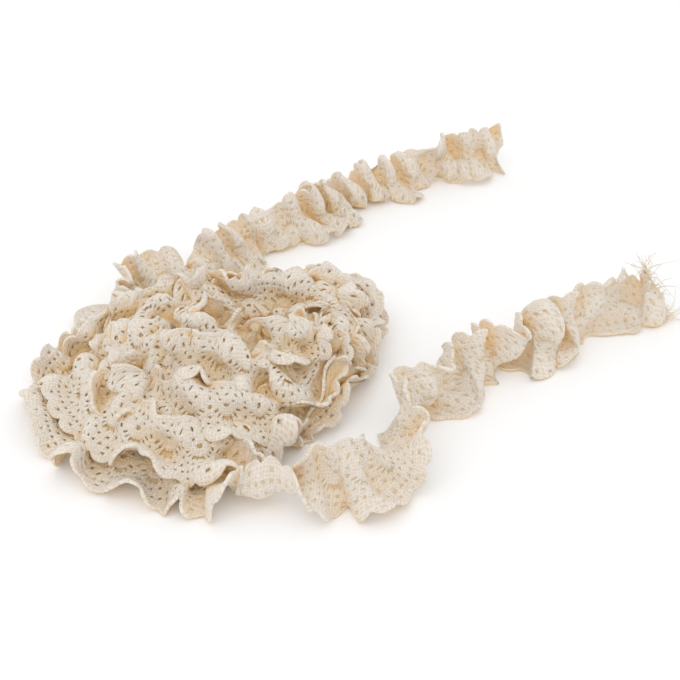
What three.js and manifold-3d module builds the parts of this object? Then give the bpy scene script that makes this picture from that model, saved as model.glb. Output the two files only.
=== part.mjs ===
// A loose hank of scalloped cotton lace trim: one heap of five wound turns and its two free ends.
// Millimetres, +Z up. The origin is on the floor under the heap, X to the right and Y to the back.

import * as THREE from 'three';
import Module from 'manifold-3d';

const wasm = await Module();
wasm.setup();

// The lace: a straight foot edge at one side and a scalloped head edge at the other.
const LACE_WIDTH = 28;
const LACE_THICKNESS = 1.6;
const SCALLOP_PITCH = 7;
const SCALLOP_DEPTH = 2.4;
const STEP_ALONG = SCALLOP_PITCH / 2;
const STEPS_ACROSS = 2;
// Pieces that meet stay this far apart.
const PIECE_GAP = 0.35;

// The floor lifts what would sink below it, over a soft bend of this height.
const FLOOR_BEND = 2.5;

// The gathers. Main folds run across the lace, with smaller crinkles between them.
const FOLD = { length: 26, depth: 5.2, swing: 26, lead: 0.9, slant: 1.5, overhang: 0.25 };
const CRINKLE = { length: 14.5, share: 0.42, slant: -1.7, phase: 1.7, drift: 1.2, driftLength: 67 };
const DEPTH_AT_FOOT = 0.55;
const DEPTH_GAIN_TO_HEAD = 0.75;
// Slow swells make some folds deep and some shallow, and drifts space them unevenly.
const SWELLS = [
  { length: 117, share: 0.35, phase: 3.1 },
  { length: 53, share: 0.25, phase: 1 },
];
const DRIFTS = [
  { length: 91, turn: 1.3, phase: 2.1 },
  { length: 47, turn: 0.8, phase: 0.7 },
];

// The heap's turns, lowest first, each with eight sections clockwise from the front:
// front, front left, left, back left, back, back right, right, front right.
// reach is from the turn's centre to the lace's middle, height is that middle's height,
// lean is the rise in degrees from the foot edge out to the head edge, gather scales the folds.
// The folds of the packed turns are calmer than those of the free ends, and a turn's inner strip,
// up to this distance from its foot edge, is hidden under the next turn.
const HEAP_CALM = 0.5;
const HEAP_FOOT = 10;
const FIRST_BEARING = -90;
const SECTION_ANGLE = 45;
const TURNS = [
  {
    centre: [0, 0],
    reach: [57, 55, 56, 46, 37, 70, 44, 36],
    height: [4, 4, 4, 5, 6, 6, 6, 6],
    lean: [-4, -2, 4, 10, 18, 2, 4, -16],
    gather: [0.8, 0.9, 1, 1, 1, 0.6, 0.8, 1],
  },
  {
    centre: [2, 4],
    reach: [53, 52, 51, 43, 33, 65, 44, 38],
    height: [11, 14, 10, 10, 11, 11, 11, 12],
    lean: [-28, -40, -8, 20, 38, 8, 8, -26],
    gather: [0.8, 0.45, 0.9, 1, 0.9, 0.5, 0.9, 1],
  },
  {
    centre: [6, 10],
    reach: [45, 50, 43, 40, 27, 53, 38, 39],
    height: [18, 18, 14, 15, 15, 14, 17, 18],
    lean: [-34, -36, -22, 26, 50, 22, 12, -34],
    gather: [0.7, 0.9, 1.2, 1.1, 0.8, 0.9, 1.1, 0.9],
  },
  {
    centre: [10, 15],
    reach: [31, 36, 41, 29, 24, 41, 35, 29],
    height: [25, 22, 21, 20, 17, 18, 21, 25],
    lean: [-36, -32, -10, 26, 46, 30, 4, -36],
    gather: [0.9, 1.1, 1, 1, 0.9, 1.1, 1.2, 1],
  },
  {
    centre: [17, 21],
    reach: [16, 19, 28, 20, 15, 22, 28, 17],
    height: [18, 20, 21, 20, 17, 18, 20, 19],
    lean: [-30, -26, -6, 28, 52, 34, 0, -30],
    gather: [0.8, 1, 1.1, 0.9, 0.8, 1, 1.1, 1],
  },
];

// The free ends, a row for each twist or bend: the middle's place, then lean and gather as above.
const TAIL_COLUMNS = ['x', 'y', 'z', 'lean', 'gather'];
// From the frayed cut end at the right to the pinch where it goes under the heap's front.
const FRONT_TAIL = [
  [173, 52, 8, 150, 0.9],
  [157, 48, 9, 122, 0.8],
  [141, 36, 10, 100, 1],
  [124, 21, 10, 145, 1],
  [111, 16, 8, 88, 0.8],
  [95, 3, 10, 128, 0.7],
  [81, -10, 9, 120, 0.8],
  [73, -17, 10, 95, 0.8],
  [67, -33, 11, 66, 0.7],
  [66, -47, 10, 5, 0.7],
  [59, -57, 9, -42, 0.6],
  [49, -60, 9, -52, 0.6],
  [39, -60, 8, -42, 0.6],
  [27, -60, 6, 15, 0.5],
  [14, -58, 5, 5, 0.7],
];
// From under the heap's back left to the cut end at the far right.
const BACK_TAIL = [
  [-43, 36, 5, 10, 0.7],
  [-45, 49, 5, 30, 0.7],
  [-38, 61, 5, 100, 0.6],
  [-26, 70, 8, 165, 0.5],
  [-12, 72, 8, 160, 0.7],
  [-3, 80, 10, 110, 0.9],
  [7, 93, 9, 140, 1],
  [18, 101, 9, 105, 0.9],
  [31, 112, 9, 130, 0.9],
  [47, 131, 8, 155, 1],
  [64, 143, 8, 105, 1],
  [76, 152, 8, 140, 1],
  [86, 162, 8, 85, 1],
  [98, 168, 9, 135, 1.1],
  [111, 171, 10, 118, 1.1],
  [123, 175, 10, 100, 1.1],
];
// A head edge on the left of the lace's way is side 1, on its right is side -1.
const MAIN_SIDE = 1;
const BACK_SIDE = -1;
const MAIN_SEED = 1;
const BACK_SEED = 4.1;

// The filled middle of the heap: how far inside each turn's own line it stays, and its hollow eye.
const CORE_INSETS = [6, 4, 3, 3, 3];
const CORE_STEPS_AROUND = 32;
const EYE_HEIGHT = 9;

const COTTON = { color: 0xd8cab5, roughness: 0.92, metalness: 0 };
const TAU = 2 * Math.PI;
// Finer steps for measuring along the rows, and a small step for directions.
const SAMPLES_PER_ROW = 60;
const NEARBY = 0.01;

// Place on a heap turn's line at one of its sections, pulled in by an inset.
function sectionPlace(turn, section, inset) {
  const bearing = THREE.MathUtils.degToRad(FIRST_BEARING - SECTION_ANGLE * section);
  const reach = turn.reach[section] - inset;
  return {
    x: turn.centre[0] + reach * Math.cos(bearing),
    y: turn.centre[1] + reach * Math.sin(bearing),
    z: turn.height[section],
  };
}

function coilRows() {
  return TURNS.flatMap((turn) => turn.reach.map((_, section) => {
    const place = sectionPlace(turn, section, 0);
    return { ...place, lean: turn.lean[section], gather: HEAP_CALM * turn.gather[section] };
  }));
}

function tailRows(table) {
  return table.map((row) => Object.fromEntries(TAIL_COLUMNS.map((name, i) => [name, row[i]])));
}

// Every column of the rows at t, on a smooth curve through the rows.
function rowAt(rows, t) {
  const clamped = Math.min(Math.max(t, 0), rows.length - 1);
  const i = Math.min(Math.floor(clamped), rows.length - 2);
  const f = clamped - i;
  const near = [i - 1, i, i + 1, i + 2].map((k) => rows[Math.min(Math.max(k, 0), rows.length - 1)]);
  const column = (name) => {
    const [a, b, c, d] = near.map((row) => row[name]);
    return b + 0.5 * f * (c - a + f * (2 * a - 5 * b + 4 * c - d + f * (3 * b - 3 * c + d - a)));
  };
  return Object.fromEntries(TAIL_COLUMNS.map((name) => [name, column(name)]));
}

// Height after the floor has lifted a point of the lace's middle surface.
function liftedHeight(z) {
  const level = LACE_THICKNESS / 2;
  const above = z - level;
  return level + 0.5 * (above + Math.hypot(above, FLOOR_BEND));
}

// A run of lace along its rows: place(t, v) is the point v mm across from the foot edge.
function laceRun(rows, side, seed) {
  const last = rows.length - 1;
  const samples = last * SAMPLES_PER_ROW;
  const line = Array.from({ length: samples + 1 }, (_, i) => {
    const row = rowAt(rows, i / SAMPLES_PER_ROW);
    return new THREE.Vector3(row.x, row.y, row.z);
  });
  const lengths = [0];
  for (let i = 1; i <= samples; i += 1) {
    lengths.push(lengths[i - 1] + line[i].distanceTo(line[i - 1]));
  }
  const lengthAt = (t) => {
    const at = Math.min(Math.max(t * SAMPLES_PER_ROW, 0), samples);
    const i = Math.min(Math.floor(at), samples - 1);
    return lengths[i] + (at - i) * (lengths[i + 1] - lengths[i]);
  };

  const place = (t, v) => {
    const row = rowAt(rows, t);
    const before = rowAt(rows, t - NEARBY);
    const after = rowAt(rows, t + NEARBY);
    const along = new THREE.Vector3(after.x - before.x, after.y - before.y, 0).normalize();
    const outward = new THREE.Vector3(-along.y * side, along.x * side, 0);
    const s = lengthAt(t);
    const k = v / LACE_WIDTH;
    const swell = SWELLS.reduce(
      (sum, w) => sum + w.share * Math.sin((TAU * s) / w.length + seed * w.phase), 1) * row.gather;
    const drift = DRIFTS.reduce(
      (sum, w) => sum + w.turn * Math.sin((TAU * s) / w.length + seed * w.phase), 0);
    const fold = (TAU * s) / FOLD.length + seed + drift;
    const crinkle = (TAU * s) / CRINKLE.length + seed * CRINKLE.phase
      + CRINKLE.drift * Math.sin((TAU * s) / CRINKLE.driftLength + seed);
    const lean = THREE.MathUtils.degToRad(row.lean + FOLD.swing * Math.sin(fold + FOLD.lead) * swell);
    const across = outward.clone().multiplyScalar(Math.cos(lean)).setZ(Math.sin(lean));
    const facing = outward.clone().multiplyScalar(-Math.sin(lean)).setZ(Math.cos(lean));
    const depth = FOLD.depth * swell * (DEPTH_AT_FOOT + DEPTH_GAIN_TO_HEAD * k);
    const wave = Math.sin(fold + FOLD.slant * k) + CRINKLE.share * Math.sin(crinkle + CRINKLE.slant * k);
    const slide = -FOLD.overhang * Math.sin(2 * (fold + FOLD.slant * k));
    const point = new THREE.Vector3(row.x, row.y, row.z)
      .addScaledVector(across, v - LACE_WIDTH / 2)
      .addScaledVector(facing, depth * wave)
      .addScaledVector(along, depth * slide);
    return point.setZ(liftedHeight(point.z));
  };
  return { place, last };
}

// Where the cross-sections lie: one each half scallop of the lace's own length, gathers included.
function crossings(run, start, end) {
  const found = [start];
  let previous = run.place(start, LACE_WIDTH / 2);
  let walked = 0;
  const stride = 1 / SAMPLES_PER_ROW;
  for (let t = start + stride; t < end; t += stride) {
    const point = run.place(t, LACE_WIDTH / 2);
    walked += point.distanceTo(previous);
    previous = point;
    if (walked >= STEP_ALONG) {
      found.push(t);
      walked -= STEP_ALONG;
    }
  }
  return found;
}

// The points of each cross-section, on both faces in turn, from the foot edge to the head edge.
// Each face lies half a thickness from the middle surface, square to the neighbouring points.
function stripSections(run, stops, footEdge, grow) {
  const half = LACE_THICKNESS / 2 + grow;
  const middle = stops.map((t, i) => {
    const headEdge = LACE_WIDTH - (i % 2 === 0 ? SCALLOP_DEPTH : 0);
    const span = headEdge - footEdge + 2 * grow;
    return Array.from({ length: STEPS_ACROSS + 1 }, (_, j) => (
      run.place(t, footEdge - grow + (j / STEPS_ACROSS) * span)));
  });
  return middle.map((points, i) => points.flatMap((point, j) => {
    const before = middle[Math.max(i - 1, 0)][j];
    const after = middle[Math.min(i + 1, middle.length - 1)][j];
    const inner = points[Math.max(j - 1, 0)];
    const outer = points[Math.min(j + 1, STEPS_ACROSS)];
    const normal = after.clone().sub(before).cross(outer.clone().sub(inner)).normalize();
    return [half, -half].map((offset) => point.clone().addScaledVector(normal, offset));
  }));
}

// A closed solid from a three.js geometry whose shared corners are one vertex each.
function solidOf(geometry) {
  return new wasm.Manifold(new wasm.Mesh({
    numProp: 3,
    vertProperties: new Float32Array(geometry.getAttribute('position').array),
    triVerts: new Uint32Array(geometry.getIndex().array),
  }));
}

function indexedGeometry(points, index) {
  const geometry = new THREE.BufferGeometry().setFromPoints(points);
  geometry.setIndex(index);
  return geometry;
}

// A stretch of the lace as one closed strip, with a cross-section at each crown and dip of the
// scalloped head edge; grow swells the strip for a clearance.
function laceSolid(run, start, end, footEdge, grow = 0) {
  const sections = stripSections(run, crossings(run, start, end), footEdge, grow);
  const perSection = 2 * (STEPS_ACROSS + 1);
  const head = 2 * STEPS_ACROSS;
  const index = [];
  const quad = (a, b, c, d) => index.push(a, b, c, a, c, d);
  for (let i = 0; i < sections.length - 1; i += 1) {
    const near = i * perSection;
    const far = near + perSection;
    for (let j = 0; j < head; j += 2) {
      quad(near + j, far + j, far + j + 2, near + j + 2);
      quad(near + j + 1, near + j + 3, far + j + 3, far + j + 1);
    }
    quad(near, near + 1, far + 1, far);
    quad(near + head, far + head, far + head + 1, near + head + 1);
  }
  const last = (sections.length - 1) * perSection;
  for (let j = 0; j < head; j += 2) {
    quad(j, j + 2, j + 3, j + 1);
    quad(last + j, last + j + 1, last + j + 3, last + j + 2);
  }
  return solidOf(indexedGeometry(sections.flat(), index));
}

// The lace of the heap, a strip for each turn, joined to the filled middle.
function heapSolid(run, firstRow, grow = 0) {
  const sectionsPerTurn = 360 / SECTION_ANGLE;
  return TURNS.reduce((heap, _, i) => {
    const start = firstRow + i * sectionsPerTurn;
    const end = Math.min(start + sectionsPerTurn, run.last);
    return heap.add(laceSolid(run, start, end, HEAP_FOOT, grow));
  }, coreSolid(grow));
}

// The heap's filled middle: rings a little inside the turns, a flat base and a hollow eye.
function coreSolid(grow = 0) {
  const rings = TURNS.map((turn, i) => {
    const corners = turn.reach.map((_, section) => {
      const place = sectionPlace(turn, section, CORE_INSETS[i] - grow);
      return new THREE.Vector3(place.x, place.y, place.z + grow);
    });
    return new THREE.CatmullRomCurve3(corners, true).getPoints(CORE_STEPS_AROUND).slice(0, -1);
  });
  const base = rings[0].map((point) => point.clone().setZ(0));
  const layers = [base, ...rings];
  const eye = new THREE.Vector3(...TURNS.at(-1).centre, EYE_HEIGHT + grow);
  const points = [...layers.flat(), eye, new THREE.Vector3(0, 0, 0)];
  const eyeIndex = layers.length * CORE_STEPS_AROUND;
  const top = (layers.length - 1) * CORE_STEPS_AROUND;
  const index = [];
  for (let i = 0; i < CORE_STEPS_AROUND; i += 1) {
    const next = (i + 1) % CORE_STEPS_AROUND;
    for (let layer = 0; layer < layers.length - 1; layer += 1) {
      const low = layer * CORE_STEPS_AROUND;
      const high = low + CORE_STEPS_AROUND;
      index.push(low + i, high + next, low + next, low + i, high + i, high + next);
    }
    index.push(top + i, eyeIndex, top + next);
    index.push(i, next, eyeIndex + 1);
  }
  return solidOf(indexedGeometry(points, index));
}

// The largest body of a solid, without loose crumbs and with closed hollows filled.
function mainBody(solid) {
  return solid.decompose().reduce((best, body) => (body.volume() > best.volume() ? body : best));
}

function meshOf(name, solid) {
  const { vertProperties, triVerts } = solid.getMesh();
  const geometry = new THREE.BufferGeometry();
  geometry.setAttribute('position', new THREE.BufferAttribute(new Float32Array(vertProperties), 3));
  geometry.setIndex(new THREE.BufferAttribute(new Uint32Array(triVerts), 1));
  const mesh = new THREE.Mesh(geometry, new THREE.MeshStandardMaterial(COTTON));
  mesh.name = name;
  return mesh;
}

const mainRun = laceRun([...tailRows(FRONT_TAIL), ...coilRows()], MAIN_SIDE, MAIN_SEED);
const backRun = laceRun(tailRows(BACK_TAIL), BACK_SIDE, BACK_SEED);
const rootRow = FRONT_TAIL.length - 1;

const hank = mainBody(heapSolid(mainRun, rootRow));
const clearance = heapSolid(mainRun, rootRow, PIECE_GAP);
const frontTail = mainBody(laceSolid(mainRun, 0, rootRow, 0).subtract(clearance));
const backTail = mainBody(laceSolid(backRun, 0, backRun.last, 0).subtract(clearance));

const laceTrim = new THREE.Group();
laceTrim.add(meshOf('hank', hank));
laceTrim.add(meshOf('front_tail', frontTail));
laceTrim.add(meshOf('back_tail', backTail));

export default laceTrim;
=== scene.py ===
# %% [markdown]
# A loose hank of cotton lace trim. The real thing is one long strip of bobbin lace, straight on its
# foot edge and scalloped on its head edge, wound into a heap with both ends left lying free.
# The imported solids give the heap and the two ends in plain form. This lesson replaces them with the
# lace itself: one repeat of the pattern is charted and cut, repeated into a flat strip, and the
# strip is laid along the same turns that the solids have.

# %% Load the frame
import math

import bpy
import numpy as np
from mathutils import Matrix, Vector


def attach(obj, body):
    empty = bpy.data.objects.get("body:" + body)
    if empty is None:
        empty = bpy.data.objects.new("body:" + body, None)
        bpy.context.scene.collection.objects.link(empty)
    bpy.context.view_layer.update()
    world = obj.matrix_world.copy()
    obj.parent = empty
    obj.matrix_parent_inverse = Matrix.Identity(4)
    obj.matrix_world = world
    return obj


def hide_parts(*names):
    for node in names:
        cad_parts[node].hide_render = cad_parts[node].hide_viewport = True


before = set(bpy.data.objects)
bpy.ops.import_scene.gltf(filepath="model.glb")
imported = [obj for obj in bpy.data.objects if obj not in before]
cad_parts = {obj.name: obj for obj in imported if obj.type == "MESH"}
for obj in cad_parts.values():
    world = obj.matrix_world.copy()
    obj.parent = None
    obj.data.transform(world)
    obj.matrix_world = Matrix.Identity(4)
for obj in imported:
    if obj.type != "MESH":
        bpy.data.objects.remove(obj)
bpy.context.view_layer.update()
MM = 0.001
TAU = 2 * math.pi
bpy.ops.object.select_all(action="DESELECT")

# %% [markdown]
# The camera looks along +Y and down at 35 degrees, from a little over half a metre. Its focal length
# is kept in pixels of the 680 pixel frame, which is how it was found from the lace's own size.

# %% Camera
FRAME_PIXELS = 680
FOCAL_PIXELS = 1400
SENSOR_MM = 36.0
LOOK_DOWN_DEG = 35.0
LOOK_AT_MM = (47.0, 35.0, 0.0)
CAMERA_DISTANCE_MM = 546.0

camera_data = bpy.data.cameras.new("camera")
camera_data.sensor_width = SENSOR_MM
camera_data.lens = FOCAL_PIXELS / FRAME_PIXELS * SENSOR_MM
camera = bpy.data.objects.new("camera", camera_data)
bpy.context.scene.collection.objects.link(camera)
look_down = math.radians(LOOK_DOWN_DEG)
towards_camera = Vector((0.0, -math.cos(look_down), math.sin(look_down)))
camera.location = Vector(LOOK_AT_MM) * MM + towards_camera * CAMERA_DISTANCE_MM * MM
camera.rotation_euler = (-towards_camera).to_track_quat("-Z", "Y").to_euler()
bpy.context.scene.camera = camera
print("lens", round(camera_data.lens, 1), "mm at", [round(c, 3) for c in camera.location])

# %% [markdown]
# Colours are written as sRGB hex, as a dye chart gives them, and one function turns them into the
# linear values that the shader works with.

# %% Colours
def linear(hex_colour):
    channels = [int(hex_colour[i:i + 2], 16) / 255 for i in (1, 3, 5)]
    spread = [c / 12.92 if c <= 0.04045 else ((c + 0.055) / 1.055) ** 2.4 for c in channels]
    return (*spread, 1.0)


def add_node(material, kind, settings=None, inputs=None):
    """Adds a node with its settings, and sets or links its inputs by name or number."""
    tree = material.node_tree
    node = tree.nodes.new(kind)
    for name, value in (settings or {}).items():
        setattr(node, name, value)
    for name, value in (inputs or {}).items():
        if isinstance(value, bpy.types.NodeSocket):
            tree.links.new(value, node.inputs[name])
        else:
            node.inputs[name].default_value = value
    return node


print("mid grey is", [round(c, 3) for c in linear("#808080")])

# %% [markdown]
# The floor is a plain pale sheet of paper, larger than the view. Soft light comes from a white
# surround and one wide lamp above the front left, so the folds shade gently. The view's gamma is
# raised a little, which keeps the hollows light.

# %% Floor and light
FLOOR_SIZE = 6.0
SURROUND_STRENGTH = 1.00
KEY_PLACE = (-0.20, -0.42, 0.80)
KEY_AIM = (0.03, 0.02, 0.0)
KEY_SIZE = 0.80
KEY_WATTS = 1.5
VIEW_GAMMA = 1.35


def paper_white():
    material = bpy.data.materials.new("matt_white_paper")
    material.use_nodes = True
    shader = material.node_tree.nodes["Principled BSDF"]
    shader.inputs["Base Color"].default_value = linear("#FBFBFB")
    shader.inputs["Roughness"].default_value = 0.85
    return material


bpy.ops.mesh.primitive_plane_add(size=FLOOR_SIZE)
floor = bpy.context.object
floor.name = "floor"
floor.data.materials.append(paper_white())

surround = bpy.data.worlds.new("surround")
surround.use_nodes = True
surround.node_tree.nodes["Background"].inputs["Color"].default_value = (1.0, 1.0, 1.0, 1.0)
surround.node_tree.nodes["Background"].inputs["Strength"].default_value = SURROUND_STRENGTH
bpy.context.scene.world = surround

key_data = bpy.data.lights.new("soft_key", "AREA")
key_data.energy = KEY_WATTS
key_data.size = KEY_SIZE
soft_key = bpy.data.objects.new("soft_key", key_data)
bpy.context.scene.collection.objects.link(soft_key)
soft_key.location = KEY_PLACE
soft_key.rotation_euler = (Vector(KEY_AIM) - Vector(KEY_PLACE)).to_track_quat("-Z", "Y").to_euler()
bpy.context.scene.view_settings.view_transform = "Standard"
bpy.context.scene.view_settings.gamma = VIEW_GAMMA
print("floor and light in place")

# %% [markdown]
# One repeat of the lace, charted as a maker would draw it on squared paper. Across the strip,
# from the foot edge: a row of pinholes, a row of slanted slits, a fan of seven slits around an eyelet
# with more holes outside it, eyelets between the fans, a row of pinholes, and a hole in each scallop.
# A row of the chart is one hole: its place along and across, its two half sizes and its turn.

# %% The lace chart
LACE_WIDTH = 28.0
REPEAT = 14.0
SCALLOP_PITCH = 7.0
SCALLOP_DEPTH = 2.4
SCALLOP_SHARPNESS = 1.3
FOOT_PITCH = 3.5
PINHOLE = 0.50
SMALL_HOLE = 0.46
SLIT = (0.38, 1.05)
SLIT_TURN = 35
FAN_CENTRE = (7.0, 10.4)
FAN_RAYS = (-60, -40, -20, 0, 20, 40, 60)
FAN_SLIT = (0.38, 1.15)
FAN_RADIUS = 5.2
FAN_OUTER_RADIUS = 8.2
HALF_RAY = 10


def on_fan(ray, radius):
    turn = math.radians(ray)
    return (FAN_CENTRE[0] + radius * math.sin(turn), FAN_CENTRE[1] + radius * math.cos(turn))


def lace_chart():
    holes = []
    for k in range(4):
        holes.append((FOOT_PITCH / 2 + FOOT_PITCH * k, 2.6, PINHOLE, SMALL_HOLE, 0))
        holes.append((FOOT_PITCH * k, 5.6, *SLIT, SLIT_TURN if k % 2 else -SLIT_TURN))
    for ray in FAN_RAYS:
        holes.append((*on_fan(ray, FAN_RADIUS), *FAN_SLIT, -ray))
    for ray in FAN_RAYS[2:-1]:
        holes.append((*on_fan(ray - HALF_RAY, FAN_OUTER_RADIUS), PINHOLE, PINHOLE, 0))
    holes += [(*FAN_CENTRE, 1.00, 0.80, 0), (0.0, 11.6, 0.75, 0.80, 0)]
    holes += [(0.0, v, SMALL_HOLE, SMALL_HOLE, 0) for v in (8.8, 15.4)]
    holes += [(0.0, 18.6, PINHOLE, 0.70, 0)]
    holes += [(u, 8.4, SMALL_HOLE, SMALL_HOLE, 0) for u in (4.6, 9.4)]
    for k in range(6):
        holes.append((REPEAT / 12 + REPEAT / 6 * k, 21.6, PINHOLE, PINHOLE, 0))
    for k in range(2):
        holes.append((SCALLOP_PITCH / 2 + SCALLOP_PITCH * k, 24.4, 0.52, 0.52, 0))
    return holes


CHART = lace_chart()


def scallop_edge(u):
    dip = 1 - np.abs(np.sin(math.pi * u / SCALLOP_PITCH))
    return LACE_WIDTH - SCALLOP_DEPTH * dip ** SCALLOP_SHARPNESS


def solid_side(u, v):
    """How far a point of the flat lace is inside its thread: below zero in a hole or past the edge."""
    depth = scallop_edge(u) - v
    for along, across, half_along, half_across, turn in CHART:
        c, s = math.cos(math.radians(turn)), math.sin(math.radians(turn))
        du = (u - along + REPEAT / 2) % REPEAT - REPEAT / 2
        dv = v - across
        ring = np.hypot((c * du + s * dv) / half_along, (c * dv - s * du) / half_across) - 1
        depth = np.minimum(depth, ring * min(half_along, half_across))
    return depth


print("holes in one repeat:", len(CHART))

# %% [markdown]
# The repeat is cut from a grid: squares whose middle falls in a hole are deleted, and the corners
# left around a hole slide onto its outline, so that a coarse grid still gives round eyelets.
# A vertex group keeps the share of thickness that each corner gets later: all of it in the cords of
# the two edges, less in the cloth, and least on the rim of a hole.

# %% Cut one repeat
GRID_ALONG = 24
GRID_ACROSS = 48
SLIDE_LIMIT = 0.30
SLIDE_ROUNDS = 3
CORD_WIDTH = 0.6
CLOTH_SHARE = 0.60
STEP_U = REPEAT / GRID_ALONG
STEP_V = LACE_WIDTH / GRID_ACROSS


def flat_points(mesh):
    points = np.empty(len(mesh.vertices) * 3)
    mesh.vertices.foreach_get("co", points)
    return points.reshape(-1, 3)


def on_outline(u, v):
    """Corners with a hole on one side and thread on another."""
    sides = [solid_side(u + a * STEP_U / 2, v + b * STEP_V / 2) > 0 for a in (-1, 1) for b in (-1, 1)]
    return np.any(sides, axis=0) & ~np.all(sides, axis=0) & (v > STEP_V / 2)


def slide_to_outline(u, v):
    nudge = 1e-3
    start_u, start_v = u.copy(), v.copy()
    for _ in range(SLIDE_ROUNDS):
        depth = solid_side(u, v)
        slope_u = (solid_side(u + nudge, v) - depth) / nudge
        slope_v = (solid_side(u, v + nudge) - depth) / nudge
        size = slope_u ** 2 + slope_v ** 2 + 1e-9
        u = u - depth * slope_u / size
        v = v - depth * slope_v / size
        u = start_u + np.clip(u - start_u, -SLIDE_LIMIT, SLIDE_LIMIT)
        v = start_v + np.clip(v - start_v, -SLIDE_LIMIT, SLIDE_LIMIT)
    return u, v


def cut_repeat():
    bpy.ops.object.select_all(action="DESELECT")
    bpy.ops.mesh.primitive_grid_add(x_subdivisions=GRID_ALONG, y_subdivisions=GRID_ACROSS, size=1)
    repeat = bpy.context.object
    mesh = repeat.data
    points = (flat_points(mesh) + (0.5, 0.5, 0.0)) * (REPEAT, LACE_WIDTH, 1.0)
    mesh.vertices.foreach_set("co", points.ravel())
    middles = np.array([np.mean([points[i] for i in face.vertices], axis=0) for face in mesh.polygons])
    in_hole = solid_side(middles[:, 0], middles[:, 1]) <= 0
    for kind in (mesh.vertices, mesh.edges):
        kind.foreach_set("select", np.zeros(len(kind), dtype=bool))
    mesh.polygons.foreach_set("select", in_hole)
    bpy.ops.object.mode_set(mode="EDIT")
    bpy.ops.mesh.select_mode(type="FACE")
    bpy.ops.mesh.delete(type="FACE")
    bpy.ops.object.mode_set(mode="OBJECT")
    points = flat_points(mesh)
    rim = on_outline(points[:, 0], points[:, 1])
    points[rim, 0], points[rim, 1] = slide_to_outline(points[rim, 0], points[rim, 1])
    mesh.vertices.foreach_set("co", points.ravel())
    cord = points[:, 1] > scallop_edge(points[:, 0]) - CORD_WIDTH
    cord |= points[:, 1] < CORD_WIDTH
    thick = repeat.vertex_groups.new(name="thick")
    thick.add([int(i) for i in np.flatnonzero(~rim & ~cord)], CLOTH_SHARE, "REPLACE")
    thick.add([int(i) for i in np.flatnonzero(cord)], 1.0, "REPLACE")
    mesh.update()
    return repeat


lace_repeat = cut_repeat()

# %% [markdown]
# The run of the lace, in the sizes of the solids. The heap is five turns, each described at eight
# sections clockwise from the front, and each free end has a row for every twist or bend. Lean is the
# rise in degrees from the foot edge to the head edge, gather scales the folds there, and curl bends
# the lace across its width.

# %% Turns and free ends
FIRST_BEARING = -90.0
SECTION_ANGLE = 45.0
TURNS = [
    {
        "centre": (0, 0),
        "reach": (57, 55, 56, 46, 37, 70, 44, 36),
        "height": (4, 4, 4, 5, 6, 6, 6, 6),
        "lean": (-4, -2, 4, 10, 18, 2, 4, -16),
        "gather": (0.8, 0.9, 0.7, 0.6, 1, 0.6, 0.8, 1),
    },
    {
        "centre": (2, 4),
        "reach": (53, 52, 51, 43, 33, 65, 44, 38),
        "height": (11, 14, 10, 10, 11, 11, 11, 12),
        "lean": (-28, -40, -8, 20, 38, 8, 8, -26),
        "gather": (0.8, 0.45, 0.9, 1, 0.9, 0.5, 0.9, 1),
    },
    {
        "centre": (6, 10),
        "reach": (45, 50, 43, 40, 27, 53, 38, 39),
        "height": (18, 18, 14, 15, 15, 14, 17, 18),
        "lean": (-34, -36, -22, 26, 50, 22, 12, -34),
        "gather": (0.7, 0.9, 1.2, 1.1, 0.8, 0.9, 1.1, 0.9),
    },
    {
        "centre": (10, 15),
        "reach": (31, 36, 41, 29, 24, 41, 35, 29),
        "height": (25, 22, 21, 20, 17, 18, 21, 25),
        "lean": (-36, -42, -24, 26, 46, 30, 4, -36),
        "gather": (0.9, 0.6, 0.8, 1, 0.9, 1.1, 1.2, 1),
    },
    {
        "centre": (17, 21),
        "reach": (16, 19, 28, 20, 15, 22, 28, 17),
        "height": (18, 20, 21, 20, 17, 18, 20, 19),
        "lean": (-30, -26, -6, 28, 52, 34, 0, -30),
        "gather": (0.8, 1, 1.1, 0.9, 0.8, 1, 1.1, 1),
    },
]
# Columns: x, y, z, lean, gather, curl. From the frayed cut end to the pinch under the heap's front.
FRONT_TAIL = [
    (173, 52, 8, 150, 0.9, 20),
    (157, 48, 9, 122, 0.8, -40),
    (141, 36, 10, 100, 1, 20),
    (124, 21, 10, 145, 1, 60),
    (111, 16, 8, 88, 0.8, -40),
    (95, 3, 10, 128, 0.7, 0),
    (81, -10, 9, 120, 0.8, 40),
    (73, -17, 10, 95, 0.8, 80),
    (67, -33, 11, 66, 0.7, 40),
    (66, -47, 10, 5, 0.7, 0),
    (59, -57, 9, -42, 0.6, -20),
    (49, -60, 9, -52, 0.6, 0),
    (39, -60, 8, -42, 0.5, 160),
    (27, -60, 6, 15, 0.3, 420),
    (14, -58, 5, 5, 0.5, 160),
]
# From under the heap's back left to the cut end at the far right.
BACK_TAIL = [
    (-43, 36, 5, 10, 0.5, 0),
    (-45, 49, 5, 30, 0.4, 20),
    (-38, 61, 5, 100, 0.4, 0),
    (-26, 70, 8, 165, 0.4, 40),
    (-12, 72, 8, 160, 0.6, 200),
    (-3, 80, 10, 110, 0.9, 120),
    (7, 93, 9, 140, 1, 20),
    (18, 101, 9, 105, 0.9, 130),
    (31, 112, 9, 130, 0.9, 20),
    (47, 131, 8, 155, 1, 60),
    (64, 143, 8, 105, 1, 130),
    (76, 152, 8, 140, 1, 20),
    (86, 162, 8, 85, 1, 60),
    (98, 168, 9, 135, 1.1, 40),
    (111, 171, 10, 118, 1.1, -40),
    (123, 175, 10, 100, 1.1, 0),
]
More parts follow.
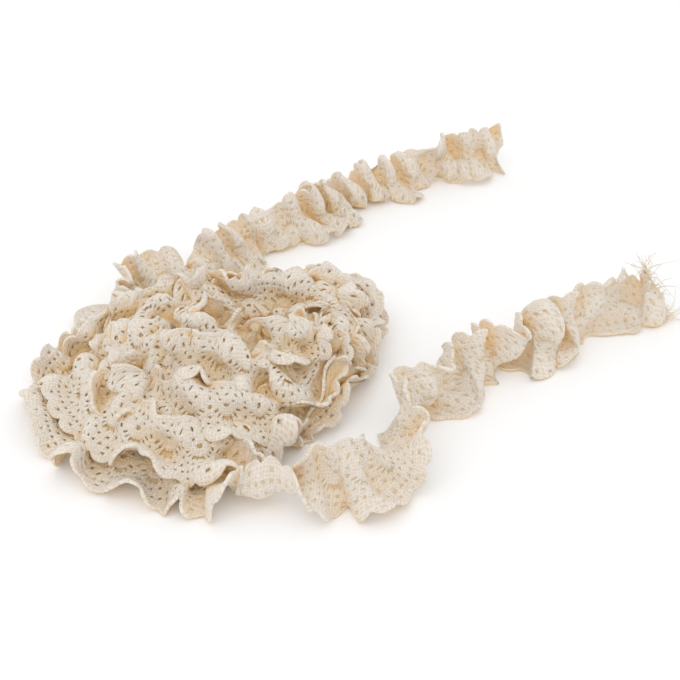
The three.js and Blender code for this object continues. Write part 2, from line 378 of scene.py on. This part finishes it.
# How the lace folds: pitch is the spacing of its pleats in mm, and depth scales them. Across its width
# it curls by some degrees, which change along the lace, and ripples into ridges that run lengthwise.
FRONT_FOLDS = {"pitch": 18.0, "depth": 0.75, "curl_change": 60.0, "ripple": 30.0}
OUTER_FOLDS = {"pitch": 22.0, "depth": 0.45, "curl_change": 40.0, "ripple": 30.0}
TURN_FOLDS = {"pitch": 19.0, "depth": 0.36, "curl_change": 95.0, "ripple": 66.0}
TURN_CURL = 25.0
BACK_FOLDS = {"pitch": 12.5, "depth": 0.85, "curl_change": 80.0, "ripple": 38.0}


def turn_rows():
    rows = []
    bearing = FIRST_BEARING
    for turn in TURNS:
        folds = OUTER_FOLDS if turn is TURNS[0] else TURN_FOLDS
        columns = zip(turn["reach"], turn["height"], turn["lean"], turn["gather"])
        for reach, height, lean, gather in columns:
            x = turn["centre"][0] + reach * math.cos(math.radians(bearing))
            y = turn["centre"][1] + reach * math.sin(math.radians(bearing))
            rows.append((x, y, height, lean, gather, TURN_CURL, *folds.values()))
            bearing -= SECTION_ANGLE
    return rows


MAIN_ROWS = np.array([(*row, *FRONT_FOLDS.values()) for row in FRONT_TAIL] + turn_rows(), dtype=float)
BACK_ROWS = np.array([(*row, *BACK_FOLDS.values()) for row in BACK_TAIL], dtype=float)
print("rows of the run:", len(MAIN_ROWS), "and of the back end:", len(BACK_ROWS))

# %% [markdown]
# The gathers are a sum of waves along the lace, as a drawn thread would crimp it: pleats, crinkles
# between them, and a small frill on both edges. Across its width the lace curls and ripples. Slow
# swells make some folds deep and others shallow, and drifts space them unevenly. The floor lifts
# what would sink into it. A cloth simulation would be slower, and would not keep to the rows.

# %% Place a point of the lace
FOLD = {"depth": 0.25, "swing": 26.0, "lead": 0.9, "slant": 2.6, "overhang": 0.45}
CRINKLE = {"pitch": 0.56, "share": 0.32, "slant": -1.7, "phase": 1.7, "drift": 1.2, "drift_length": 67.0}
RIDGE = {"length": 95.0, "across": 1.6}
WIDTH_STEPS = 12
FRILL = {"length": 12.5, "depth": 1.3, "least": 0.35, "slant": 2.2, "phase": 2.3}
# Waves along the lace, each with its length in mm, its share and its phase.
CURLS = [(83.0, 0.6, 2.0), (41.0, 0.5, 1.0)]
SWELLS = [(117.0, 0.40, 3.1), (53.0, 0.35, 1.0)]
DRIFTS = [(91.0, 1.6, 2.1), (47.0, 1.0, 0.7)]
FRILL_DRIFTS = [(37.0, 1.5, 1.0), (23.0, 1.1, 0.0)]
FLOOR_LEVEL = 0.6
FLOOR_BEND = 2.5
SAMPLES_PER_ROW = 240
LENGTH_SHARES = (0.1, 0.3, 0.5, 0.7, 0.9)
NEARBY = 0.002
MAIN_SEED = 1.0
BACK_SEED = 4.1


def row_at(rows, t):
    """Every column of the rows at t, on a smooth curve through them."""
    last = len(rows) - 1
    t = np.clip(t, 0, last)
    i = np.minimum(np.floor(t).astype(int), last - 1)
    f = (t - i)[:, None]
    a, b, c, d = (rows[np.clip(i + k, 0, last)] for k in (-1, 0, 1, 2))
    return b + 0.5 * f * (c - a + f * (2 * a - 5 * b + 4 * c - d + f * (3 * (b - c) + d - a)))


def waves(s, seed, table):
    return sum(share * np.sin(TAU * s / length + seed * phase) for length, share, phase in table)


class LaceRun:
    """A run of lace along its rows; place(t, v) gives points v mm across from the foot edge."""

    def __init__(self, rows, side, seed):
        self.rows = rows
        self.side = side
        self.seed = seed
        self.last = len(rows) - 1
        self.t = np.linspace(0, self.last, self.last * SAMPLES_PER_ROW + 1)
        line = row_at(rows, self.t)[:, :3]
        steps = np.linalg.norm(np.diff(line, axis=0), axis=1)
        self.path = np.concatenate([[0], np.cumsum(steps)])
        pitch = row_at(rows, self.t)[1:, 6]
        self.phase = np.concatenate([[0], np.cumsum(TAU * steps / pitch)])
        lengths = [self.edge_steps(share * LACE_WIDTH) for share in LENGTH_SHARES]
        self.lace = np.concatenate([[0], np.cumsum(np.mean(lengths, axis=0))])

    def edge_steps(self, v):
        line = self.place(self.t, np.full(self.t.shape, v))
        return np.linalg.norm(np.diff(line, axis=0), axis=1)

    def place(self, t, v):
        row = row_at(self.rows, t)
        along = row_at(self.rows, t + NEARBY)[:, :3] - row_at(self.rows, t - NEARBY)[:, :3]
        along[:, 2] = 0
        along /= np.linalg.norm(along, axis=1, keepdims=True)
        outward = np.stack([-along[:, 1], along[:, 0], 0 * along[:, 0]], axis=1) * self.side
        up = np.array([0.0, 0.0, 1.0])
        s = np.interp(t, self.t, self.path)
        k = v / LACE_WIDTH
        seed = self.seed
        phase = np.interp(t, self.t, self.phase)
        curl, pitch, depth, curl_change, ripple = row[:, 5:].T
        swell = row[:, 4] * (1 + waves(s, seed, SWELLS))
        fold = phase + seed + waves(s, seed, DRIFTS) + FOLD["slant"] * k
        crinkle = phase / CRINKLE["pitch"] + seed * CRINKLE["phase"] + CRINKLE["slant"] * k
        crinkle = crinkle + CRINKLE["drift"] * np.sin(TAU * s / CRINKLE["drift_length"] + seed)
        frill = TAU * s / FRILL["length"] + seed * FRILL["phase"] + waves(s, seed, FRILL_DRIFTS)
        curl = np.radians(curl + curl_change * waves(s, seed, CURLS))
        ripple = np.radians(ripple) * row[:, 4]
        ridge = TAU * s / RIDGE["length"] + seed + waves(s, seed, DRIFTS)

        def turned(share):
            return curl * (share - 0.5) + ripple * np.sin(TAU * RIDGE["across"] * share + ridge)

        steps = 0.5 + (k - 0.5) * np.linspace(0, 1, WIDTH_STEPS + 1)[:, None]
        angles = turned(steps)
        reach = LACE_WIDTH * (k - 0.5) * np.trapz(np.cos(angles), dx=1 / WIDTH_STEPS, axis=0)
        rise = LACE_WIDTH * (k - 0.5) * np.trapz(np.sin(angles), dx=1 / WIDTH_STEPS, axis=0)
        lean = np.radians(row[:, 3] + FOLD["swing"] * np.sin(fold + FOLD["lead"]) * swell)[:, None]
        across = np.cos(lean) * outward + np.sin(lean) * up
        facing = -np.sin(lean) * outward + np.cos(lean) * up
        tilt = turned(k)[:, None]
        normal = np.cos(tilt) * facing - np.sin(tilt) * across
        depth = FOLD["depth"] * pitch * depth * swell
        wave = np.sin(fold) + CRINKLE["share"] * np.sin(crinkle)
        edge = FRILL["depth"] * (FRILL["least"] + swell) * (2 * k - 1) ** 2
        edge = edge * np.sin(frill + FRILL["slant"] * k)
        slide = -FOLD["overhang"] * np.sin(2 * fold)
        points = row[:, :3] + reach[:, None] * across + rise[:, None] * facing
        points = points + (depth * wave + edge)[:, None] * normal + (depth * slide)[:, None] * along
        above = points[:, 2] - FLOOR_LEVEL
        points[:, 2] = FLOOR_LEVEL + 0.5 * (above + np.hypot(above, FLOOR_BEND))
        return points

    def t_at(self, length):
        return np.interp(length, self.lace, self.t)

    def length_at(self, t):
        return float(np.interp(t, self.t, self.lace))


main_run = LaceRun(MAIN_ROWS, side=1, seed=MAIN_SEED)
back_run = LaceRun(BACK_ROWS, side=-1, seed=BACK_SEED)
print("lace in the main run", round(main_run.lace[-1]), "mm")
print("lace in the back end", round(back_run.lace[-1]), "mm")

# %% [markdown]
# Cotton thread: spun, boiled and unbleached, so it is a matt cream with a faint bloom of loose
# fibres. Light goes through it. The ochre of the deep hollows, where light would go from fold to fold,
# is painted bounce light, and the gaps between the threads are darkened with painted shade. The thread
# lines follow the lace, so they are drawn on its own flat map, which is kept in metres. A deeper copy
# of the cotton, with shade painted into its colour, is for the plain strips that lie behind the lace.

# %% Cotton thread
THREAD_PITCH = 1.0 * MM
NET_PITCH = 1.5 * MM
FIBRE_GRAIN = 0.35 * MM
TONE_PATCH = 9.0 * MM
HOLLOW_REACH = 9.0 * MM
GAP_DEPTH = 1.4
GAP_SHADE = 0.40
# A wave texture of scale 1 has a period of this much.
WAVE_PERIOD = TAU / 20


def unbleached_cotton(name, light, dark):
    material = bpy.data.materials.new(name)
    material.use_nodes = True
    tree = material.node_tree
    shader = tree.nodes["Principled BSDF"]
    flat = add_node(material, "ShaderNodeUVMap", {"uv_map": "flat_lace"}).outputs["UV"]
    # Threads along and across the lace, and the small gaps between them.
    thread = {"Vector": flat, "Scale": WAVE_PERIOD / THREAD_PITCH,
              "Distortion": 5.0, "Detail": 2.0, "Detail Scale": 1.5}
    lengthwise = add_node(material, "ShaderNodeTexWave", {"bands_direction": "Y"}, thread)
    crosswise = add_node(material, "ShaderNodeTexWave", {"bands_direction": "X"}, thread)
    stitch = add_node(material, "ShaderNodeMath", {"operation": "MAXIMUM"},
                      {0: lengthwise.outputs["Fac"], 1: crosswise.outputs["Fac"]})
    net = add_node(material, "ShaderNodeTexVoronoi", None,
                   {"Vector": flat, "Scale": 1 / NET_PITCH, "Randomness": 0.9})
    pores = add_node(material, "ShaderNodeMapRange", None,
                     {"Value": net.outputs["Distance"], "From Min": 0.10, "From Max": 0.34,
                      "To Min": 1.0, "To Max": 0.0})
    between = add_node(material, "ShaderNodeMapRange", None,
                       {"Value": stitch.outputs[0], "From Min": 0.15, "From Max": 0.75,
                        "To Min": 0.8, "To Max": 0.0})
    gaps = add_node(material, "ShaderNodeMath", {"operation": "MAXIMUM"},
                    {0: pores.outputs[0], 1: between.outputs[0]})
    # The gaps lie deeper than the threads, and loose fibres roughen both.
    fibres = add_node(material, "ShaderNodeTexNoise", None,
                      {"Vector": flat, "Scale": 1 / FIBRE_GRAIN, "Detail": 3.0, "Roughness": 0.6})
    relief = add_node(material, "ShaderNodeMath", {"operation": "MULTIPLY_ADD"},
                      {0: gaps.outputs[0], 1: -GAP_DEPTH, 2: fibres.outputs["Fac"]})
    bump = add_node(material, "ShaderNodeBump", None,
                    {"Strength": 0.8, "Distance": 0.3 * MM, "Height": relief.outputs[0]})
    # The cream changes slowly from place to place, and painted shade makes it darker in the gaps between
    # threads.
    patches = add_node(material, "ShaderNodeTexNoise", None,
                       {"Vector": flat, "Scale": 1 / TONE_PATCH, "Detail": 4.0})
    tone = add_node(material, "ShaderNodeMix", {"data_type": "RGBA"},
                    {"Factor": patches.outputs["Fac"], 6: linear(light), 7: linear(dark)})
    shaded = add_node(material, "ShaderNodeMath", {"operation": "MULTIPLY"},
                      {0: gaps.outputs[0], 1: GAP_SHADE})
    gap_shaded_tone = add_node(material, "ShaderNodeMix", {"data_type": "RGBA"},
                      {"Factor": shaded.outputs[0], 6: tone.outputs[2], 7: linear("#B8905A")})
    # Painted bounce light: an ochre tint is painted into the hollows, where light would go from fold to
    # fold.
    hollow = add_node(material, "ShaderNodeAmbientOcclusion", {"samples": 6}, {"Distance": HOLLOW_REACH})
    painted_bounce_light = add_node(material, "ShaderNodeMapRange", None,
                      {"Value": hollow.outputs["AO"], "From Min": 0.10, "From Max": 0.80,
                       "To Min": 0.95, "To Max": 0.0})
    colour = add_node(material, "ShaderNodeMix", {"data_type": "RGBA"},
                      {"Factor": painted_bounce_light.outputs[0], 6: gap_shaded_tone.outputs[2], 7: linear("#FFD28C")})
    tree.links.new(colour.outputs[2], shader.inputs["Base Color"])
    tree.links.new(bump.outputs["Normal"], shader.inputs["Normal"])
    shader.inputs["Roughness"].default_value = 0.92
    shader.inputs["IOR"].default_value = 1.5
    shader.inputs["Specular IOR Level"].default_value = 0.25
    shader.inputs["Subsurface Weight"].default_value = 0.6
    shader.inputs["Subsurface Radius"].default_value = (1.0, 0.92, 0.84)
    shader.inputs["Subsurface Scale"].default_value = 1.5 * MM
    shader.inputs["Sheen Weight"].default_value = 0.15
    shader.inputs["Sheen Roughness"].default_value = 0.5
    return material


cotton = unbleached_cotton("unbleached_cotton_thread", "#E3D9CB", "#DCD0C0")
# A copy of the cotton in darker ochre tones, with shade painted into its colour, for the plain strips
# behind the lace.
painted_shade_cotton = unbleached_cotton("unbleached_cotton_painted_shade", "#DCC4A0", "#D0B68E")
print("cotton has", len(cotton.node_tree.nodes), "nodes")

# %% [markdown]
# Laying the lace. The repeat is copied with an Array into a flat strip, its flat place is kept as a
# map, and each corner is then carried to its place on the run. Solidify gives the thread its body,
# thin at the holes, so that the bars between the holes look round.

# %% Lay a length of lace
THREAD_BODY = 1.2 * MM
RIM_SHARE = 0.3


def keep_flat_map(mesh, flat):
    """Keeps the place of every corner on the flat lace, in metres, as the map flat_lace."""
    while mesh.uv_layers:
        mesh.uv_layers.remove(mesh.uv_layers[0])
    corners = np.empty(len(mesh.loops), dtype=int)
    mesh.loops.foreach_get("vertex_index", corners)
    flat_map = mesh.uv_layers.new(name="flat_lace")
    flat_map.data.foreach_set("uv", (flat[corners, :2] * MM).ravel())


def lay_lace(name, run, first, count):
    """A piece of count repeats, which starts first repeats from the run's start."""
    bpy.ops.object.select_all(action="DESELECT")
    lace = bpy.data.objects.new(name, lace_repeat.data.copy())
    bpy.context.scene.collection.objects.link(lace)
    bpy.context.view_layer.objects.active = lace
    lace.select_set(True)
    for group in lace_repeat.vertex_groups:
        lace.vertex_groups.new(name=group.name)
    array = lace.modifiers.new("repeats", "ARRAY")
    array.count = count
    array.use_relative_offset = False
    array.use_constant_offset = True
    array.constant_offset_displace = (REPEAT, 0.0, 0.0)
    array.use_merge_vertices = True
    array.merge_threshold = 0.01
    bpy.ops.object.modifier_apply(modifier=array.name)
    mesh = lace.data
    flat = flat_points(mesh)
    along = flat[:, 0] + first * REPEAT
    keep_flat_map(mesh, np.stack([along, flat[:, 1]], axis=1))
    stretch = run.lace[-1] / (round(run.lace[-1] / REPEAT) * REPEAT)
    points = run.place(run.t_at(along * stretch), flat[:, 1]) * MM
    mesh.vertices.foreach_set("co", points.ravel())
    mesh.update()
    body = lace.modifiers.new("thread", "SOLIDIFY")
    body.thickness = THREAD_BODY
    body.offset = 0.0
    body.vertex_group = "thick"
    body.thickness_vertex_group = RIM_SHARE
    bpy.ops.object.modifier_apply(modifier=body.name)
    bpy.ops.object.shade_smooth()
    mesh.materials.clear()
    mesh.materials.append(cotton)
    triangles = sum(len(face.vertices) - 2 for face in mesh.polygons)
    print(name, "repeats", count, "triangles", triangles)
    return lace


# %% [markdown]
# Each free end and each turn is a piece of its own, a whole number of repeats long, so the pattern
# goes on unbroken from one to the next and no mesh gets too heavy.

# %% The free ends and the turns
ROOT_ROW = len(FRONT_TAIL) - 1
SECTIONS_PER_TURN = round(360 / SECTION_ANGLE)


def repeats_to(run, t):
    return round(run.length_at(t) / REPEAT)


stops = [0]
for turn_index in range(len(TURNS) + 1):
    stops.append(repeats_to(main_run, min(ROOT_ROW + SECTIONS_PER_TURN * turn_index, main_run.last)))
names = ["lace_front_end"] + [f"lace_turn_{i + 1}" for i in range(len(TURNS))]
pieces = {}
for name, first, end in zip(names, stops, stops[1:]):
    pieces[name] = (lay_lace(name, main_run, first, end - first), end - first)
back_count = repeats_to(back_run, back_run.last)
pieces["lace_back_end"] = (lay_lace("lace_back_end", back_run, 0, back_count), back_count)
bpy.data.objects.remove(lace_repeat)

# %% [markdown]
# The front end was cut and has frayed: threads have slipped out of its edge in six tufts and stand
# off in all directions. They are thin curves with a round bevel, joined into one mesh.

# %% The frayed end
FRAY_RADIUS = 0.25 * MM
FRAY_POINTS = 7
# Columns: place across the lace as a share of its width, threads, length, spread and rise.
FRAY_TUFTS = [
    (0.10, 16, 9.0, 0.30, -0.10),
    (0.30, 14, 5.0, 0.45, 0.10),
    (0.50, 10, 3.0, 0.50, 0.10),
    (0.68, 12, 4.0, 0.50, 0.30),
    (0.86, 22, 8.0, 0.42, 0.55),
    (0.97, 8, 4.0, 0.50, 0.40),
]
TUFT_WIDTH = 0.045
# How far a thread bends, shakes and tapers, and the least share of its tuft's length that it has.
FRAY = {"bend": 0.7, "shake": 0.22, "taper": 0.55, "shortest": 0.35}
# Threads start on the first of these rows and head away from the second.
FRAY_ROWS = (0.06, 0.35)
FRAY_EDGE = 0.02
fray_chance = np.random.default_rng(7)


def fray_thread(curves, start, way, length, spread, rise, lowest):
    """One loose thread, which leaves the cut edge and bends away in a curl of its own."""
    heading = way + fray_chance.normal(0, spread, 3) + (0.0, 0.0, rise)
    bend = fray_chance.normal(0, FRAY["bend"], 3)
    length = length * fray_chance.uniform(FRAY["shortest"], 1.0)
    spline = curves.splines.new("NURBS")
    spline.points.add(FRAY_POINTS - 1)
    spline.use_endpoint_u = True
    for i, point in enumerate(spline.points):
        f = i / (FRAY_POINTS - 1)
        place = start + length * f * (heading + bend * f * f)
        place = place + fray_chance.normal(0, FRAY["shake"], 3)
        place[2] = max(place[2], lowest)
        point.co = (*(place * MM), 1.0)
        point.radius = 1.0 - FRAY["taper"] * f


def fray_end(run, lowest):
    """Tufts of threads that leave the cut edge at the start of a run."""
    curves = bpy.data.curves.new("frayed_threads", "CURVE")
    curves.dimensions = "3D"
    curves.bevel_depth = FRAY_RADIUS
    curves.bevel_resolution = 1
    curves.resolution_u = 4
    for share, count, length, spread, rise in FRAY_TUFTS:
        shares = np.clip(fray_chance.normal(share, TUFT_WIDTH, count), FRAY_EDGE, 1 - FRAY_EDGE)
        starts = run.place(np.full(count, FRAY_ROWS[0]), shares * LACE_WIDTH)
        inside = run.place(np.full(count, FRAY_ROWS[1]), shares * LACE_WIDTH)
        ways = starts - inside
        ways /= np.linalg.norm(ways, axis=1, keepdims=True)
        for start, way in zip(starts, ways):
            fray_thread(curves, start, way, length, spread, rise, lowest)
    threads = bpy.data.objects.new("frayed_threads", curves)
    bpy.context.scene.collection.objects.link(threads)
    bpy.ops.object.select_all(action="DESELECT")
    bpy.context.view_layer.objects.active = threads
    threads.select_set(True)
    bpy.ops.object.convert(target="MESH")
    threads = bpy.context.object
    bpy.ops.object.shade_smooth()
    threads.data.materials.clear()
    threads.data.materials.append(cotton)
    keep_flat_map(threads.data, flat_points(threads.data) / MM)
    print("frayed threads", len(curves.splines), "with", len(threads.data.polygons), "faces")
    return threads


frayed_threads = fray_end(main_run, FLOOR_LEVEL)

# %% [markdown]
# More turns lie under the ones that show, and the light that comes back from them makes the holes ochre
# and not black; their cotton also has shade painted into its colour. They are seen only through the
# holes and between the folds, so plain strips stand for them: one lies right behind the outer lace,
# moved back along its normals by a Displace, and two fill the heap further in. In the free ends such a
# strip lies within the lace, for the fine threads that cross its holes, in the same cotton with painted
# shade.

# %% The turns beneath
INNER_MARGIN = 2.5
BEHIND_LACE = 0.9
WITHIN_LACE = 0.05
# The strips in the free ends stop this far from the cut ends, in rows.
END_MARGIN = 0.1
# For each kind of strip, its step along in mm and its squares across.
HEAP_GRID = (1.4, 18)
DEEP_GRID = (2.5, 10)
NET_GRID = (0.9, 26)
# Moves of the deeper strips towards the middle of the heap and down, in mm.
DEEPER_STRIPS = [(12.0, 6.0), (24.0, 10.0)]
DEEPER_LOWEST = 4.0
INSET_LIMIT = 0.6
HEAP_MIDDLE = (8.0, 12.0)


def lay_plain_strip(name, node, run, rows, step, across, behind):
    """A strip without holes along a run between two of its rows, moved behind the run's own surface."""
    first, end = (run.length_at(row) for row in rows)
    width, length = LACE_WIDTH - 2 * INNER_MARGIN, end - first
    bpy.ops.object.select_all(action="DESELECT")
    bpy.ops.mesh.primitive_grid_add(x_subdivisions=round(length / step), y_subdivisions=across, size=1)
    strip = bpy.context.object
    strip.name = name
    mesh = strip.data
    flat = (flat_points(mesh) + (0.5, 0.5, 0.0)) * (length, width, 1.0) + (first, INNER_MARGIN, 0.0)
    keep_flat_map(mesh, flat)
    points = run.place(run.t_at(flat[:, 0]), flat[:, 1]) * MM
    mesh.vertices.foreach_set("co", points.ravel())
    mesh.update()
    back = strip.modifiers.new("behind", "DISPLACE")
    back.mid_level = 0.0
    back.strength = -behind * MM
    bpy.ops.object.modifier_apply(modifier=back.name)
    bpy.ops.object.shade_smooth()
    mesh.materials.clear()
    # The strips take the cotton copy that has shade painted into its colour.
    mesh.materials.append(painted_shade_cotton)
    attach(strip, "root")
    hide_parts(node)
    print(name, round(length), "mm,", len(mesh.polygons), "faces")


def deeper_rows(inset, drop):
    rows = MAIN_ROWS[ROOT_ROW + 1:].copy()
    from_middle = rows[:, :2] - HEAP_MIDDLE
    distance = np.linalg.norm(from_middle, axis=1, keepdims=True)
    rows[:, :2] -= from_middle / distance * np.minimum(inset, INSET_LIMIT * distance)
    rows[:, 2] = np.maximum(rows[:, 2] - drop, DEEPER_LOWEST)
    return rows


heap_rows = (ROOT_ROW + 1, main_run.last)
lay_plain_strip("lace_inner_turns_1", "hank", main_run, heap_rows, *HEAP_GRID, BEHIND_LACE)
for number, (inset, drop) in enumerate(DEEPER_STRIPS, start=2):
    deeper_run = LaceRun(deeper_rows(inset, drop), side=1, seed=MAIN_SEED)
    deeper_name = f"lace_inner_turns_{number}"
    lay_plain_strip(deeper_name, "hank", deeper_run, (0, deeper_run.last), *DEEP_GRID, BEHIND_LACE)
front_rows = (END_MARGIN, ROOT_ROW + 1)
lay_plain_strip("lace_net_front", "front_tail", main_run, front_rows, *NET_GRID, WITHIN_LACE)
back_rows = (0, back_run.last - END_MARGIN)
lay_plain_strip("lace_net_back", "back_tail", back_run, back_rows, *NET_GRID, WITHIN_LACE)

# %% [markdown]
# Every piece is hung from the frame's root, and the solid that it stands for is hidden.

# %% Tell the frame about the pieces
NODE_OF = {"lace_front_end": "front_tail", "lace_back_end": "back_tail"}
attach(frayed_threads, "root")
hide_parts("front_tail")
for name, (lace, count) in pieces.items():
    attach(lace, "root")
    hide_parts(NODE_OF.get(name, "hank"))
